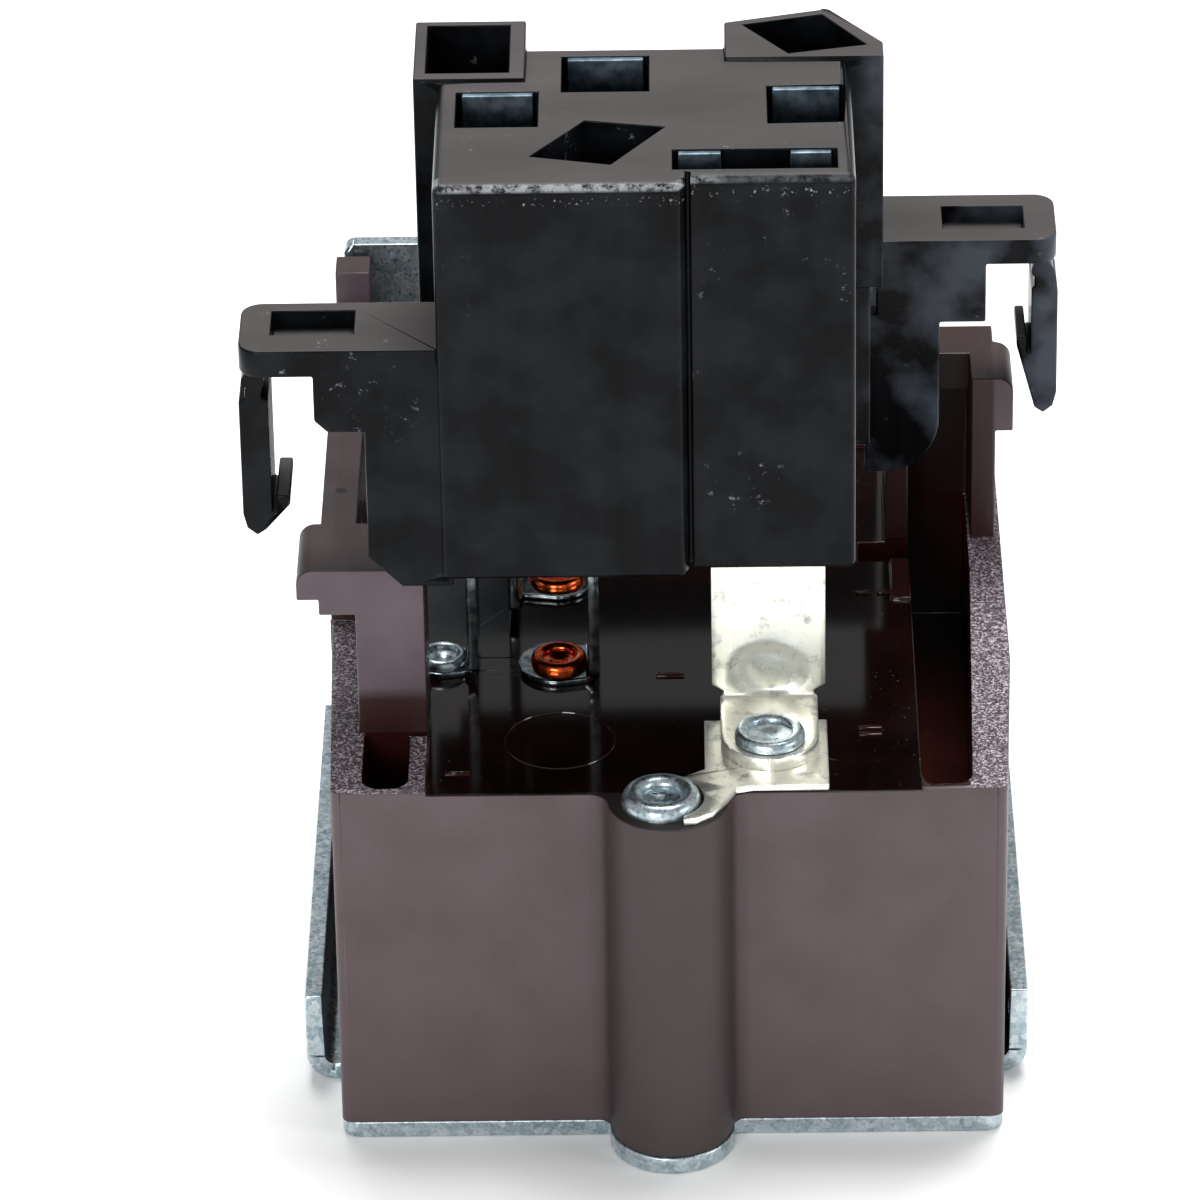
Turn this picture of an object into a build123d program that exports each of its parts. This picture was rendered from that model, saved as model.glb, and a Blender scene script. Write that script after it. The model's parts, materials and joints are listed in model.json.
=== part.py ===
import os

from build123d import *

# Frame: X to the right, Y to the back, Z up. The origin is on the underside of the steel
# base, at the middle of the housing. Depths are measured back from the housing's front face.

# driving dimensions, millimetres
width, depth, wall_top = 37.0, 40.0, 22.5      # phenolic housing
sheet = 1.0                                    # steel base
deck_z, deck_under = 22.3, 19.5                # deck surface and the chamber's roof
block_top = 32.9                               # lug blocks
travel = 7.2                                   # plug, from the pose shown down to latched
plug_low, plug_top = 33.0, 57.0                # plug module, as shown
tab_w, tab_t, blade_w = 6.3, 0.8, 4.8          # quick-connect blades
blade_tip = 38.0
fit = 0.15                                     # clearance round a blade in its receptacle
skin = 0.35                                    # receptacle sheet
seat = 0.03                                    # gap between pieces that are riveted or pressed

os.makedirs("parts", exist_ok=True)


def back(d):
    # Y of a point that lies d behind the housing's front face
    return d - depth / 2


def block(x, d, z, mode=Mode.ADD):
    # a box from low to high in x, depth and z
    with Locations(((x[0] + x[1]) / 2, back((d[0] + d[1]) / 2), (z[0] + z[1]) / 2)):
        return Box(x[1] - x[0], d[1] - d[0], z[1] - z[0], mode=mode)


def post(x, d, z, r, mode=Mode.ADD):
    # an upright cylinder
    with Locations((x, back(d), (z[0] + z[1]) / 2)):
        return Cylinder(r, z[1] - z[0], mode=mode)


def drum(x, d, z, r, mode=Mode.ADD):
    # a cylinder along Y
    with Locations((x, back((d[0] + d[1]) / 2), z)):
        return Cylinder(r, d[1] - d[0], rotation=(90, 0, 0), mode=mode)


def finish(piece, name):
    piece.part.label = name
    export_step(piece.part, f"parts/{name}.step")


def eyelet(name, places, head_r, dish_r, shank_r, foot_z, low_z, head_h=0.55):
    # rivet with a rolled rim round a shallow dish, its head on foot_z and its tail at low_z
    with BuildPart() as rivet:
        for x, d in places:
            with BuildSketch(Plane.XZ.offset(-back(d))) as profile:
                with BuildLine():
                    Polyline((x, low_z), (x + shank_r, low_z), (x + shank_r, foot_z),
                             (x + head_r - 0.2, foot_z))
                    ThreePointArc((x + head_r - 0.2, foot_z), (x + head_r, foot_z + head_h * 0.45),
                                  (x + (head_r + dish_r) / 2 + 0.1, foot_z + head_h))
                    ThreePointArc((x + (head_r + dish_r) / 2 + 0.1, foot_z + head_h),
                                  (x + dish_r + 0.15, foot_z + head_h * 0.7),
                                  (x + dish_r, foot_z + head_h * 0.2))
                    Polyline((x + dish_r, foot_z + head_h * 0.2), (x, foot_z + head_h * 0.2),
                             (x, low_z))
                make_face()
            revolve(axis=Axis((x, back(d), 0), (0, 0, 1)))
    finish(rivet, name)


# ---- fixing points, (x, depth)
front_rivet_at = (-0.4, -0.9)
rear_rivets_at = [(-8.0, 37.2), (8.0, 37.2)]
tab_at, tab_eyelet_at = (5.6, 8.8), (5.6, 3.9)
copper_blade_at, copper_eyelet_at = (-4.1, 14.1), (-6.1, 13.9)
left_blade_at, left_eyelet_at = (-10.9, 14.6), (-12.65, 14.2)
rear_blade_at, rear_eyelet_at = (-8.7, 21.2), (-6.3, 23.4)
through_r, eyelet_r = 1.5, 1.15                # rivet shanks


# ---- steel base: floor under the housing, side flanges, rear upright flange
tray_front, tray_rear, flange_z = 6.0, 38.5, 5.5
left_flange, right_flange = 20.7, 20.1          # outer faces of the side flanges
upright_x, upright_d, upright_z = (-18.7, 12.5), (40.4, 41.4), 35.5
upright_holes, upright_hole_z, upright_hole_r = (-11.0, 5.0), 29.0, 1.6
boss_r, boss_out = 3.4, 0.5
bend = 1.6

with BuildPart() as steel_base:
    block((-width / 2, width / 2), (0, depth), (0, sheet))
    post(0, -boss_out, (0, sheet), boss_r + 0.1)
    fillet([e for e in steel_base.edges().filter_by(Axis.Z)
            if abs(e.center().Y - back(0)) < 0.01 and abs(e.center().X) > 10], radius=1.0)
    for side, flange_x in ((-1, left_flange), (1, right_flange)):
        with BuildSketch(Plane.XZ.offset(-back(tray_front))) as flange:
            with BuildLine():
                Polyline((side * (width / 2 - 1), 0), (side * flange_x, 0), (side * flange_x, flange_z),
                         (side * (flange_x - sheet), flange_z), (side * (flange_x - sheet), sheet),
                         (side * (width / 2 - 1), sheet), close=True)
            make_face()
            fillet([v for v in flange.vertices() if abs(v.X) > flange_x - 0.01 and v.Y < 1],
                   radius=bend)
            fillet([v for v in flange.vertices()
                    if abs(abs(v.X) - flange_x + sheet) < 0.01 and v.Y < sheet + 0.01],
                   radius=bend - sheet)
        extrude(amount=-(tray_rear - tray_front))
    rear_floor = block((-width / 2, upright_x[1]), (depth - 1, upright_d[1]), (0, sheet))
    block(upright_x, upright_d, (0, upright_z))
    fillet(steel_base.edges().filter_by(Axis.Y).group_by(Axis.Z)[-1], radius=0.7)
    fillet(steel_base.edges().filter_by(Axis.X).group_by(Axis.Y)[-1].group_by(Axis.Z)[0], radius=0.8)
    for x in upright_holes:
        drum(x, (upright_d[0] - 1, upright_d[1] + 1), upright_hole_z, upright_hole_r, Mode.SUBTRACT)
    with Locations((right_flange, back(tray_front + 1.6), 3.4)):
        Cylinder(0.5, 4, rotation=(0, 90, 0), mode=Mode.SUBTRACT)
    for x, d in [front_rivet_at] + rear_rivets_at:
        post(x, d, (-1, sheet + 1), through_r + seat, Mode.SUBTRACT)
finish(steel_base, "steel_base")


# ---- phenolic housing
chamber_x, chamber_d = 12.0, (4.0, 35.5)
left_channel, right_channel = (-16.8, -14.3), (13.9, 16.6)
channel_floor, channel_rear = 14.5, 33.0
post_x, post_d = (-17.1, -13.3), (6.4, 11.8)   # left block
left_lug_x, left_lug_z = -20.3, 31.05
left_flare, right_flare = 0.55, 0.75           # the side walls spread a little towards the back
rail_x, rail_rear, rail_low, window_rear = (-19.1, -17.1), 39.6, 30.1, 19.0
horn_d, horn_z = 37.4, 35.2                    # raised stub at the rail's rear end
rib_x, right_d = (12.6, 13.9), (27.8, 34.4)    # right block
right_lug_x, right_lug_z, right_lug_d = 19.9, 29.5, (27.8, 32.4)
right_wall_x = (17.5, 18.9)
keyway_x, keyway_d, keyway_z = (11.0, 16.0), (25.6, 27.8), 20.0

with BuildPart() as housing:
    with BuildSketch(Plane.XY.offset(sheet)) as outline:
        with BuildLine():
            Polyline((-width / 2, back(0)), (width / 2, back(0)), (width / 2 + right_flare, back(14)),
                     (width / 2 + right_flare, back(depth)), (-width / 2 - left_flare, back(depth)),
                     (-width / 2 - left_flare, back(19)), close=True)
        make_face()
        with Locations((0, back(-boss_out))):
            Circle(boss_r)
        root_corners = [v for v in outline.vertices() if abs(v.Y - back(0)) < 0.01 and abs(v.X) < 5]
        fillet(root_corners, radius=1.0)
        outer_corners = [v for v in outline.vertices()
                         if abs(v.X) > width / 2 - 0.01 and abs(abs(v.Y) - depth / 2) < 0.01]
        fillet(outer_corners, radius=0.6)
    extrude(amount=wall_top - sheet)
    # the right wall steps in above the steel flange
    block((width / 2 + 0.3, width), (tray_front - 0.5, depth + 1), (sheet - 0.5, flange_z + 0.8),
          Mode.SUBTRACT)
    # shallow deck between the outer ribs
    block((-13.3, 13.9), (-5, 39.2), (deck_z, wall_top + 1), Mode.SUBTRACT)
    block((-14.4, -13.0), (6.2, 34.0), (deck_z, wall_top + 1), Mode.SUBTRACT)
    # side channels, closed at the back
    for channel, widened in ((left_channel, 0), (right_channel, 0.7)):
        with BuildSketch(Plane.XY.offset(channel_floor)) as groove:
            with BuildLine():
                Polyline((channel[0], back(0.6)), (channel[1], back(0.6)),
                         (channel[1] + widened, back(24)), (channel[1] + widened, back(channel_rear)),
                         (channel[0], back(channel_rear)), close=True)
            make_face()
            fillet(groove.vertices().group_by(Axis.Y)[0], radius=1.0)
        extrude(amount=wall_top, mode=Mode.SUBTRACT)
    # left block: upright, lug and rail
    block(post_x, post_d, (channel_floor, block_top))
    block((left_lug_x, post_x[0] + 0.5), post_d, (left_lug_z, block_top))
    with BuildSketch(Plane.YZ.offset(rail_x[0])) as rail:
        with BuildLine():
            Polyline((back(post_d[0]), rail_low), (back(window_rear), rail_low),
                     (back(window_rear), wall_top - 2), (back(rail_rear), wall_top - 2),
                     (back(rail_rear), horn_z), (back(horn_d), horn_z), (back(horn_d), block_top),
                     (back(post_d[0]), block_top), close=True)
        make_face()
    extrude(amount=rail_x[1] - rail_x[0])
    # right block: inner rib, outer wall, bridge and lug
    block(rib_x, right_d, (wall_top - 1, block_top))
    block(right_wall_x, right_d, (wall_top - 1, block_top))
    block((rib_x[0], right_wall_x[1]), (31.0, right_d[1]), (30.5, block_top))
    block((rib_x[0], right_wall_x[1]), (channel_rear, right_d[1]), (deck_z - 1, block_top))
    block((12.8, right_channel[0]), (21.0, right_d[0]), (deck_z - 1, wall_top))
    block((right_wall_x[0] + 0.5, right_lug_x), right_lug_d, (right_lug_z, block_top))
    lug_tops = [e for e in housing.edges().filter_by(Axis.Y)
                if abs(e.center().Z - block_top) < 0.01
                and (abs(e.center().X - left_lug_x) < 0.01 or abs(e.center().X - right_lug_x) < 0.01)]
    fillet(lug_tops, radius=0.9)
    # keyway for the right skirt
    block(keyway_x, keyway_d, (keyway_z, wall_top + 1), Mode.SUBTRACT)
    # ring recess on the deck
    post(-6.0, 5.85, (deck_z - 0.15, deck_z + 1), 3.15, Mode.SUBTRACT)
    post(-6.0, 5.85, (deck_z - 0.15, deck_z - 0.03), 2.95)
    # chamber, open below, and the rivet holes
    block((-chamber_x, chamber_x), chamber_d, (sheet - 1, deck_under), Mode.SUBTRACT)
    for x, d in [front_rivet_at] + rear_rivets_at:
        post(x, d, (0, wall_top + 1), through_r + seat, Mode.SUBTRACT)
    for x, d in (tab_eyelet_at, copper_eyelet_at, left_eyelet_at, rear_eyelet_at):
        post(x, d, (deck_under - 1, wall_top + 1), eyelet_r + seat, Mode.SUBTRACT)
finish(housing, "housing")


# ---- terminals on the deck
foot_t, blade_t = 0.35, 0.6
strip_t = 0.4

with BuildPart() as link_strip:
    with BuildSketch(Plane.XY.offset(deck_z)) as path:
        with BuildLine():
            Polyline((2.0, back(7.2)), (2.0, back(2.0)), (0.8, back(1.2)), (0.8, back(-3.4)),
                     (1.5, back(-3.3)), (2.4, back(-2.6)), (3.0, back(-1.6)), (3.7, back(-0.1)),
                     (4.6, back(0.15)), (8.8, back(0.15)),
                     (8.8, back(7.2)), close=True)
        make_face()
        with Locations((front_rivet_at[0], back(front_rivet_at[1]))):
            Circle(2.35, mode=Mode.SUBTRACT)
        with Locations((tab_eyelet_at[0], back(tab_eyelet_at[1]))):
            Circle(eyelet_r + seat, mode=Mode.SUBTRACT)
    extrude(amount=strip_t)
finish(link_strip, "link_strip")

tab_foot = deck_z + strip_t
neck = 0.5                                     # the tab narrows just above its foot
with BuildPart() as tab_terminal:
    block((tab_at[0] - 2.7, tab_at[0] + 2.7), (1.6, tab_at[1] + tab_t / 2), (tab_foot, tab_foot + tab_t))
    fillet(tab_terminal.edges().filter_by(Axis.Z).group_by(Axis.Y)[0], radius=2.2)
    block((tab_at[0] - 2.5, tab_at[0] + 2.5), (tab_at[1] - tab_t / 2, tab_at[1] + tab_t / 2),
          (tab_foot, tab_foot + 3))
    with BuildSketch(Plane.XZ.offset(-back(tab_at[1] - tab_t / 2))) as blade:
        with Locations((tab_at[0], (tab_foot + neck + blade_tip) / 2)):
            Rectangle(tab_w, blade_tip - tab_foot - neck)
        chamfer(blade.vertices().group_by(Axis.Y)[-1], length=1.2)
        chamfer(blade.vertices().group_by(Axis.Y)[0], length=0.6)
    extrude(amount=-tab_t)
    post(*tab_eyelet_at, (0, 40), eyelet_r + seat, Mode.SUBTRACT)
finish(tab_terminal, "tab_terminal")


def side_blade(name, blade_at, eyelet_at, foot_r):
    # a round foot on the deck with a blade bent up along one side, in the YZ plane
    x, d = blade_at
    half = blade_w / 2
    with BuildPart() as blade:
        with BuildSketch(Plane.XY.offset(deck_z)) as foot:
            with Locations((eyelet_at[0], back(eyelet_at[1]))):
                Circle(foot_r)
            with Locations(((eyelet_at[0] + x) / 2, back(eyelet_at[1]))):
                Rectangle(abs(x - eyelet_at[0]), 2 * foot_r * 0.8)
            with Locations((eyelet_at[0], back(eyelet_at[1]))):
                Circle(eyelet_r + seat, mode=Mode.SUBTRACT)
        extrude(amount=foot_t)
        with BuildSketch(Plane.YZ.offset(x - blade_t / 2)) as upright:
            with Locations((back(d), (deck_z + blade_tip) / 2)):
                Rectangle(2 * half, blade_tip - deck_z)
            chamfer(upright.vertices().group_by(Axis.Y)[-1], length=0.9)
        extrude(amount=blade_t)
    finish(blade, name)


side_blade("copper_blade", copper_blade_at, copper_eyelet_at, 2.3)
side_blade("left_blade", left_blade_at, left_eyelet_at, 1.6)
side_blade("rear_blade", rear_blade_at, rear_eyelet_at, 2.2)

low_end = deck_under - 0.5
eyelet("front_rivet", [front_rivet_at], 2.2, 0.95, through_r, deck_z, 0.0, 0.8)
eyelet("rear_rivets", rear_rivets_at, 1.95, 0.9, through_r, deck_z, 0.0)
eyelet("tab_eyelet", [tab_eyelet_at], 1.95, 0.75, eyelet_r, tab_foot + tab_t, low_end)
eyelet("copper_eyelet", [copper_eyelet_at], 1.6, 0.7, eyelet_r, deck_z + foot_t, low_end)
eyelet("left_eyelet", [left_eyelet_at], 1.4, 0.7, eyelet_r, deck_z + foot_t, low_end)
eyelet("rear_eyelet", [rear_eyelet_at], 1.65, 0.7, eyelet_r, deck_z + foot_t, low_end)


# ---- plug module
front_left, front_right, step_x = 5.0, 5.9, 0.9
body_x, body_rear = (-12.2, 10.35), 21.6
shoulder_d, shoulder_z, tower_low = 27.4, 46.0, 43.0
left_wing_x, left_wing_d, left_wing_z = -22.9, (5.3, 11.0), (45.5, 47.1)
right_wing_x, right_wing_d, right_wing_z = 22.2, (26.2, 32.0), (41.05, 42.6)
recep_low, recep_high, cavity_top = 33.6, 43.4, 47.5
pocket_floor = 48.6
# blade, thickness along x, thickness along y
sockets = {
    "tab_receptacle": (tab_at, tab_w, tab_t),
    "copper_receptacle": (copper_blade_at, blade_t, blade_w),
    "left_receptacle": (left_blade_at, blade_t, blade_w),
    "rear_receptacle": (rear_blade_at, blade_t, blade_w),
}
recep_half = fit + skin                        # added to half the blade on each side

with BuildPart() as plug_housing:
    with BuildSketch(Plane.XY.offset(plug_low)) as plan:
        with BuildLine():
            Polyline((body_x[0], back(front_left)), (step_x, back(front_left)),
                     (step_x + 0.5, back(front_right)), (body_x[1], back(front_right)),
                     (body_x[1], back(body_rear)), (body_x[0], back(body_rear)), close=True)
        make_face()
        fillet(plan.vertices().sort_by(Axis.Y)[:4], radius=0.4)
    extrude(amount=plug_top - plug_low)
    top_rim = [e for e in plug_housing.edges().group_by(Axis.Z)[-1]
               if e.center().Y < back(body_rear - 1)]
    fillet(top_rim, radius=0.6)
    foot_rim = [e for e in plug_housing.edges().group_by(Axis.Z)[0]
                if e.center().Y < back(front_right + 0.2)]
    fillet(foot_rim, radius=0.35)
    # parting groove beside the step
    block((step_x + 0.35, step_x + 0.65), (front_left - 1, front_right + 0.7),
          (plug_low - 1, plug_top + 1), Mode.SUBTRACT)
    # rear towers and the lower rear body
    block((-13.5, -7.4), (17.5, 24.8), (plug_low, plug_top + 0.3))
    with BuildSketch(Plane.XY.offset(tower_low)) as tower:
        with BuildLine():
            Polyline((3.5, back(19.8)), (12.2, back(19.8)), (12.2, back(21.6)), (9.2, back(25.9)),
                     (3.5, back(24.3)), close=True)
        make_face()
        fillet(tower.vertices().group_by(Axis.Y)[-1], radius=0.5)
    extrude(amount=plug_top + 0.3 - tower_low)
    block((-12.2, 11.5), (20, shoulder_d), (plug_low, shoulder_z))
    # left wing: plate, web and skirt in front of the left block
    block((left_wing_x, body_x[0]), left_wing_d, left_wing_z)
    with BuildSketch(Plane.XZ.offset(-back(left_wing_d[0]))) as web:
        with BuildLine():
            Polyline((body_x[0] + 1, 42.1), (-18.2, 42.1), (-18.9, 42.8), (-18.9, left_wing_z[0] + 0.5),
                     (body_x[0] + 1, left_wing_z[0] + 0.5), close=True)
        make_face()
    extrude(amount=-(left_wing_d[1] - left_wing_d[0]))
    with BuildSketch(Plane.XZ.offset(-back(left_wing_d[0]))) as skirt:
        with BuildLine():
            Polyline((body_x[0] + 1, 43), (-16.2, 43), (-16.2, 34.3), (-14.4, plug_low - 0.5),
                     (body_x[0] + 0.6, plug_low - 0.5), close=True)
        make_face()
    extrude(amount=-0.8)
    # right wing: plate, web and skirt in front of the right block
    block((body_x[1], right_wing_x), right_wing_d, right_wing_z)
    block((12.0, 18.2), (right_wing_d[0], shoulder_d), (37.4, right_wing_z[0]))
    with BuildSketch(Plane.XZ.offset(-back(right_wing_d[0]))) as tail:
        with BuildLine():
            Polyline((11.4, 38), (15.6, 38), (15.6, 31.2))
            RadiusArc((15.6, 31.2), (12.8, 27.8), 3.4)
            Polyline((12.8, 27.8), (11.4, 27.8), (11.4, 38))
        make_face()
    extrude(amount=-(shoulder_d - right_wing_d[0]))
    # rounded wing ends
    wing_ends = [e for e in plug_housing.edges().filter_by(Axis.Z)
                 if abs(e.center().X - left_wing_x) < 0.01 or abs(e.center().X - right_wing_x) < 0.01]
    fillet(wing_ends, radius=1.2)
    # wing recesses
    block((-21.2, -16.7), (7.3, 10.1), (left_wing_z[0] + 0.4, 50), Mode.SUBTRACT)
    block((15.8, 20.4), (27.8, 30.6), (right_wing_z[0] + 0.4, 50), Mode.SUBTRACT)
    # receptacle cavities from below
    for (x, d), wx, wy in sockets.values():
        gx, gy = wx / 2 + recep_half + seat, wy / 2 + recep_half + seat
        block((x - gx, x + gx), (d - gy, d + gy), (plug_low - 1, cavity_top), Mode.SUBTRACT)
    # wire and probe pockets in the top
    block((-11.1, -6.65), (12.2, 16.5), (pocket_floor, 60), Mode.SUBTRACT)
    block((-5.4, -0.65), (16.4, 20.8), (pocket_floor, 60), Mode.SUBTRACT)
    block((5.75, 10.0), (12.3, 16.9), (pocket_floor, 60), Mode.SUBTRACT)
    block((0.6, 9.4), (6.9, 9.2), (pocket_floor, 60), Mode.SUBTRACT)
    block((-12.8, -8.3), (18.3, 24.3), (pocket_floor, 60), Mode.SUBTRACT)
    with BuildSketch(Plane.XY.offset(pocket_floor)) as lozenge:
        with BuildLine():
            Polyline((-7.05, back(8.63)), (-4.09, back(12.89)), (0.22, back(12.05)),
                     (-2.72, back(7.56)), close=True)
        make_face()
        with BuildLine():
            Polyline((4.5, back(24.0)), (8.9, back(25.2)), (11.3, back(21.3)), (7.0, back(20.3)),
                     close=True)
        make_face()
    extrude(amount=10, mode=Mode.SUBTRACT)
finish(plug_housing, "plug_housing")

for name, ((x, d), wx, wy) in sockets.items():
    with BuildPart() as receptacle:
        ox, oy = wx / 2 + recep_half, wy / 2 + recep_half
        block((x - ox, x + ox), (d - oy, d + oy), (recep_low, recep_high))
        block((x - ox + skin, x + ox - skin), (d - oy + skin, d + oy - skin),
              (recep_low - 1, recep_high + 1), Mode.SUBTRACT)
    finish(receptacle, name)


# ---- latch arms, each turning about a thin flexure under its wing
left_hinge, right_hinge = (-22.2, 44.8), (21.4, 40.35)
knuckle = 0.62


def latch_arm(name, hinge, side, d, outer, inner, tip, catch_z, low_z):
    # side is -1 for the left arm and 1 for the right; inner is the shank's face towards the housing
    hx, hz = hinge
    with BuildPart() as arm:
        drum(hx, d, hz, knuckle)
        with BuildSketch(Plane.XZ.offset(-back(d[0]))) as profile:
            with BuildLine():
                neck_in, neck_out = hx - side * 0.45, hx + side * 0.45
                Polyline((neck_out, hz), (neck_in, hz), (neck_in, hz - 1.0), (inner, hz - 1.2),
                         (inner, catch_z - 1.1), (inner - side * 0.25, catch_z - 1.1),
                         (inner - side * 0.25, catch_z), (tip, catch_z), (tip, catch_z - 0.6),
                         (outer - side * 1.25, low_z + 0.35), (outer - side * 0.75, low_z),
                         (outer - side * 0.2, low_z + 0.45), (outer, low_z + 1.3),
                         (outer, hz - 1.2), (neck_out, hz - 1.0), close=True)
            make_face()
        extrude(amount=-(d[1] - d[0]))
    finish(arm, name)


latch_arm("left_latch", left_hinge, -1, (6.2, 10.6), -23.0, -21.4, -20.4, 37.8, 35.3)
latch_arm("right_latch", right_hinge, 1, (26.8, 30.8), 22.3, 20.8, 20.0, 36.1, 31.2)


# ---- coil and magnet, lying along Y in the chamber
coil_z = 9.5
core_r, core_d = 2.0, (16.5, 35.0)
bobbin_d, flange_t, flange_r, tube_r = (17.3, 33.6), 1.0, 6.0, 2.9

with BuildPart() as bobbin:
    drum(0, bobbin_d, coil_z, tube_r)
    drum(0, (bobbin_d[0], bobbin_d[0] + flange_t), coil_z, flange_r)
    drum(0, (bobbin_d[1] - flange_t, bobbin_d[1]), coil_z, flange_r)
    drum(0, (bobbin_d[0] - 1, bobbin_d[1] + 1), coil_z, core_r + 0.1, Mode.SUBTRACT)
finish(bobbin, "bobbin")

wound = (bobbin_d[0] + flange_t + 0.05, bobbin_d[1] - flange_t - 0.05)
with BuildPart() as coil_winding:
    drum(0, wound, coil_z, 5.4)
    drum(0, (wound[0] - 1, wound[1] + 1), coil_z, tube_r + 0.05, Mode.SUBTRACT)
finish(coil_winding, "coil_winding")

with BuildPart() as core:
    drum(0, core_d, coil_z, core_r)
finish(core, "core")

with BuildPart() as yoke:
    block((-5, 5), (16.4, 35.2), (1.2, 2.6))
    block((-5, 5), (33.8, 35.2), (1.2, 13.5))
    drum(0, (33, 36), coil_z, core_r + seat, Mode.SUBTRACT)
finish(yoke, "yoke")

with BuildPart() as coil_leads:
    for x in (-3.0, 3.0):
        post(x, 33.1, (coil_z + flange_r, deck_under - 0.05), 0.3)
finish(coil_leads, "coil_leads")


# ---- armature, card and contacts
armature_hinge = (15.2, 3.4)                   # depth, z
leaf_root = 5.3                                # the moving spring flexes about its rolled root
with BuildPart() as armature:
    block((-5, 5), (14.6, 15.8), (3.0, 15.4))
    block((-1.5, 1.5), (14.9, 15.5), (15.4, 16.7))
    with Locations((0, back(armature_hinge[0]), armature_hinge[1])):
        Cylinder(0.7, 10, rotation=(0, 90, 0))
finish(armature, "armature")

with BuildPart() as actuator_card:
    block((-4, 4), (5.2, 16.6), (15.7, 16.6))
    block((-2.8, 2.8), (6.2, 7.1), (15, 17), Mode.SUBTRACT)
    block((-1.8, 1.8), (14.65, 15.75), (15, 17), Mode.SUBTRACT)
finish(actuator_card, "actuator_card")

with BuildPart() as contact_block:
    block((-9, 9), (5.0, 10.8), (sheet + 0.05, 5.0))
finish(contact_block, "contact_block")

with BuildPart() as moving_spring:
    block((-2.5, 2.5), (6.5, 6.8), (leaf_root, 16.5))
    with Locations((0, back(6.65), leaf_root)):
        Cylinder(0.25, 5, rotation=(0, 90, 0))
finish(moving_spring, "moving_spring")

with BuildPart() as moving_contact:
    drum(0, (6.8, 7.5), 12.5, 1.1)
finish(moving_contact, "moving_contact")

with BuildPart() as fixed_bracket:
    block((-2.5, 2.5), (9.0, 9.6), (5.0, 14.5))
finish(fixed_bracket, "fixed_bracket")

with BuildPart() as fixed_contact:
    drum(0, (8.35, 9.0), 12.5, 1.1)
finish(fixed_contact, "fixed_contact")

spring_x, spring_d, spring_z, spring_r = 3.4, (11.0, 14.4), 8.0, 0.9
with BuildPart() as return_spring:
    with BuildLine(Plane((spring_x, back(spring_d[0]), spring_z), x_dir=(1, 0, 0), z_dir=(0, 1, 0))) as coil:
        Helix(pitch=0.6, height=spring_d[1] - spring_d[0] - 0.3, radius=spring_r)
    with BuildSketch(Plane(coil.line @ 0, z_dir=coil.line % 0)):
        Circle(0.14)
    sweep(is_frenet=True)
finish(return_spring, "return_spring")
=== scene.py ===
import json
from math import radians, sin, cos, pi

import bmesh
import bpy
from mathutils import Matrix, Vector


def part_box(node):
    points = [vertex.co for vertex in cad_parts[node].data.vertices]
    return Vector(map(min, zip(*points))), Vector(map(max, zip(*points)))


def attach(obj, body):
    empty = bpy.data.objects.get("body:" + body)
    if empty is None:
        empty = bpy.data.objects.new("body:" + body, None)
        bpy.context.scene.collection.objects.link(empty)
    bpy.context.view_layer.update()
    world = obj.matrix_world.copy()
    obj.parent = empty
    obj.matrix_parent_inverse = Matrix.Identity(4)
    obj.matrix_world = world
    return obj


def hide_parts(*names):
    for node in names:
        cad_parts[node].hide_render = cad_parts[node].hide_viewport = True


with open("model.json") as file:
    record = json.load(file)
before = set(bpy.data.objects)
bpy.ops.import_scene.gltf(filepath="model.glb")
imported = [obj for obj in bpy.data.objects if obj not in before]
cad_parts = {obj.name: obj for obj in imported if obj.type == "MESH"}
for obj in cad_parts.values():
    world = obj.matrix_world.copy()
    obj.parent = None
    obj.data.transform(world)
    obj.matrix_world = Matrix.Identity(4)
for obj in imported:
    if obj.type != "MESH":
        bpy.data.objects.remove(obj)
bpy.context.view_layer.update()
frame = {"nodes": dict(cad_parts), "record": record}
nodes = frame["nodes"]
mm = 0.001
print("frame loaded:", len(nodes), "nodes")


def boxMm(nodeName):
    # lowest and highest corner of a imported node, in mm
    low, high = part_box(nodeName)
    return Vector(low) / mm, Vector(high) / mm


frontY = -20.0                      # the housing's front face, mm
deckZ = boxMm("link_strip")[0].z    # the strip lies on the deck
wallZ = deckZ + 0.2                 # side walls stand a little above the deck
blockTop = 32.9                     # tops of the lug blocks

# the view: a spot to aim at in mm, angles in degrees, and a long lens
cameraSpot = dict(aim=(-3.63, -14.83, 31.61), azimuth=0.75, elevation=29.8, roll=1.0,
                  distance=420.0, lens=230.6)


def placeCamera(spot):
    azimuth, elevation, roll = (radians(spot[k]) for k in ("azimuth", "elevation", "roll"))
    away = Vector((sin(azimuth) * cos(elevation), -cos(azimuth) * cos(elevation), sin(elevation)))
    right = (-away).cross(Vector((0, 0, 1))).normalized()
    up = right.cross(-away)
    right, up = right * cos(roll) - up * sin(roll), up * cos(roll) + right * sin(roll)
    camera = bpy.data.objects.new("camera", bpy.data.cameras.new("camera"))
    bpy.context.scene.collection.objects.link(camera)
    place = Matrix.Translation((Vector(spot["aim"]) + away * spot["distance"]) * mm)
    camera.matrix_world = place @ Matrix((right, up, away)).transposed().to_4x4()
    camera.data.lens = spot["lens"]
    camera.data.sensor_width = 36
    camera.data.clip_start = 0.01
    bpy.context.scene.camera = camera


placeCamera(cameraSpot)


# sRGB hex to the linear colour that a socket takes
def linear(hexText):
    values = [int(hexText[i:i + 2], 16) / 255 for i in (0, 2, 4)]
    return tuple(v / 12.92 if v <= 0.04045 else ((v + 0.055) / 1.055) ** 2.4 for v in values) + (1.0,)


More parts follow.
